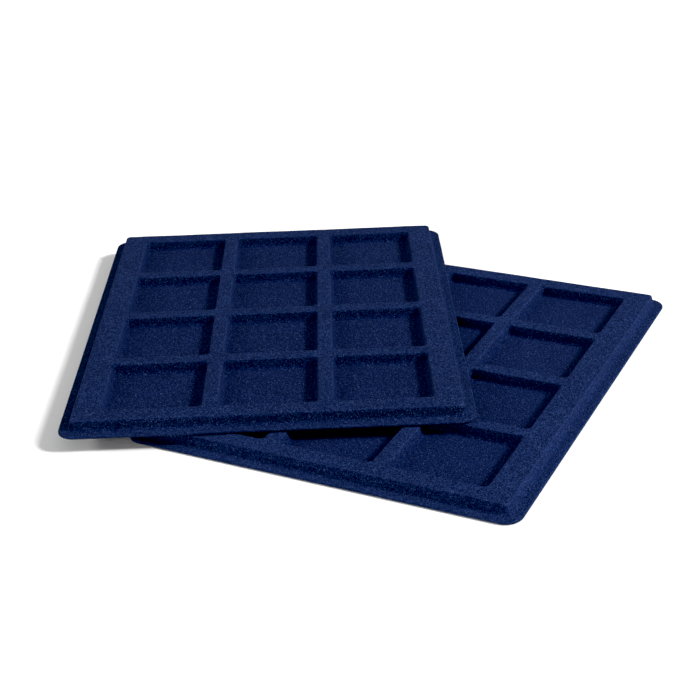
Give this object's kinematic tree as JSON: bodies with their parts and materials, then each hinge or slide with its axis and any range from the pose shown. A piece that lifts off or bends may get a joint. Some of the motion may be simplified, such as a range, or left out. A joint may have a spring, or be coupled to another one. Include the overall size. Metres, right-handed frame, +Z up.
{
  "type": "coin display tray",
  "caption": "Pair of flocked, vacuum-formed coin display trays with square pockets, one lying loose and askew on the other.",
  "frame": {"origin": "on the resting plane, under the middle of the pair's bounding box", "axes": "+Z up, +X across the lower tray's columns to the right, +Y along them to the back; the upper tray is turned 26.9 degrees anticlockwise from above"},
  "size_m": [0.3422, 0.3172, 0.0151],
  "materials": {
    "tray_plastic": "satin vacuum-formed sheet",
    "flock_pile": "short velour flock pile"
  },
  "bodies": {
    "lower_tray": {"lower_tray_sheet": "tray_plastic", "lower_tray_flock": "flock_pile"},
    "upper_tray": {"upper_tray_sheet": "tray_plastic", "upper_tray_flock": "flock_pile"}
  },
  "joints": [
    {"name": "upper_tray_lift", "type": "slide", "parent": "lower_tray", "child": "upper_tray", "axis": [0, 0, 1], "range_m": [0, 0.1]}
  ]
}
